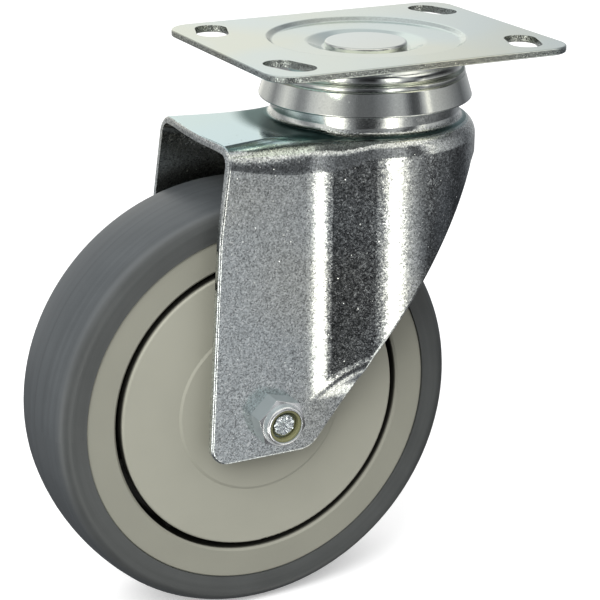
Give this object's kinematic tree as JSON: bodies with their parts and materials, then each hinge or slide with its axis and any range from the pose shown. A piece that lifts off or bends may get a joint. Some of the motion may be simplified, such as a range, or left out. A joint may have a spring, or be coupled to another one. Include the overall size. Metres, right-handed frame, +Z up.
{
  "type": "swivel plate castor",
  "caption": "Swivel plate castor: slotted top plate, ball-race swivel head, pressed steel fork and a rubber-tyred wheel on ball bearings.",
  "frame": {"origin": "centre of the mounting plate's top face, on the swivel axis", "axes": "+Z up, out of the plate's top face; the wheel trails towards -X; the axle is parallel to Y, with its nut on the -Y side"},
  "size_m": [0.1495, 0.075, 0.163],
  "materials": {
    "zinc_steel": "bright zinc plated, fine grain",
    "bolt_steel": "bright zinc plated",
    "bearing_steel": "polished",
    "cage_steel": "satin",
    "tyre_rubber": "matt grey thermoplastic rubber",
    "wheel_plastic": "light grey moulded plastic, satin",
    "nylon": "yellowish nylon"
  },
  "bodies": {
    "plate": {"mounting_plate": "zinc_steel", "kingpin": "zinc_steel", "upper_race_ring": "zinc_steel", "dust_ring": "zinc_steel", "lower_race_cup": "zinc_steel"},
    "upper_ball_row": {"upper_swivel_balls": "bearing_steel"},
    "lower_ball_row": {"lower_swivel_balls": "bearing_steel"},
    "fork": {"fork": "zinc_steel", "axle_bolt": "bolt_steel", "axle_nut": "bolt_steel", "nut_nylon_ring": "nylon", "axle_sleeve": "zinc_steel", "bearing_spacer": "zinc_steel", "near_thread_guard": "wheel_plastic", "far_thread_guard": "wheel_plastic", "near_bearing_inner_ring": "bearing_steel", "far_bearing_inner_ring": "bearing_steel"},
    "wheel": {"tyre": "tyre_rubber", "wheel_core": "wheel_plastic", "near_bearing_outer_ring": "bearing_steel", "far_bearing_outer_ring": "bearing_steel", "near_bearing_shields": "cage_steel", "far_bearing_shields": "cage_steel"},
    "near_ball_set": {"near_bearing_balls": "bearing_steel", "near_bearing_cage": "cage_steel"},
    "far_ball_set": {"far_bearing_balls": "bearing_steel", "far_bearing_cage": "cage_steel"}
  },
  "joints": [
    {"name": "swivel", "type": "hinge", "parent": "plate", "child": "fork", "pos_m": [0, 0, 0], "axis": [0, 0, 1], "continuous": true},
    {"name": "wheel_spin", "type": "hinge", "parent": "fork", "child": "wheel", "pos_m": [-0.0405, 0, -0.1005], "axis": [0, 1, 0], "continuous": true},
    {"name": "upper_balls_orbit", "type": "hinge", "parent": "plate", "child": "upper_ball_row", "pos_m": [0, 0, 0], "axis": [0, 0, 1], "continuous": true},
    {"name": "lower_balls_orbit", "type": "hinge", "parent": "plate", "child": "lower_ball_row", "pos_m": [0, 0, 0], "axis": [0, 0, 1], "continuous": true},
    {"name": "near_balls_orbit", "type": "hinge", "parent": "fork", "child": "near_ball_set", "pos_m": [-0.0405, 0, -0.1005], "axis": [0, 1, 0], "continuous": true},
    {"name": "far_balls_orbit", "type": "hinge", "parent": "fork", "child": "far_ball_set", "pos_m": [-0.0405, 0, -0.1005], "axis": [0, 1, 0], "continuous": true}
  ],
  "couplings": [
    {"joint": "upper_balls_orbit", "follows": "swivel", "ratio": 0.5},
    {"joint": "lower_balls_orbit", "follows": "swivel", "ratio": 0.5},
    {"joint": "near_balls_orbit", "follows": "wheel_spin", "ratio": 0.619},
    {"joint": "far_balls_orbit", "follows": "wheel_spin", "ratio": 0.619}
  ]
}
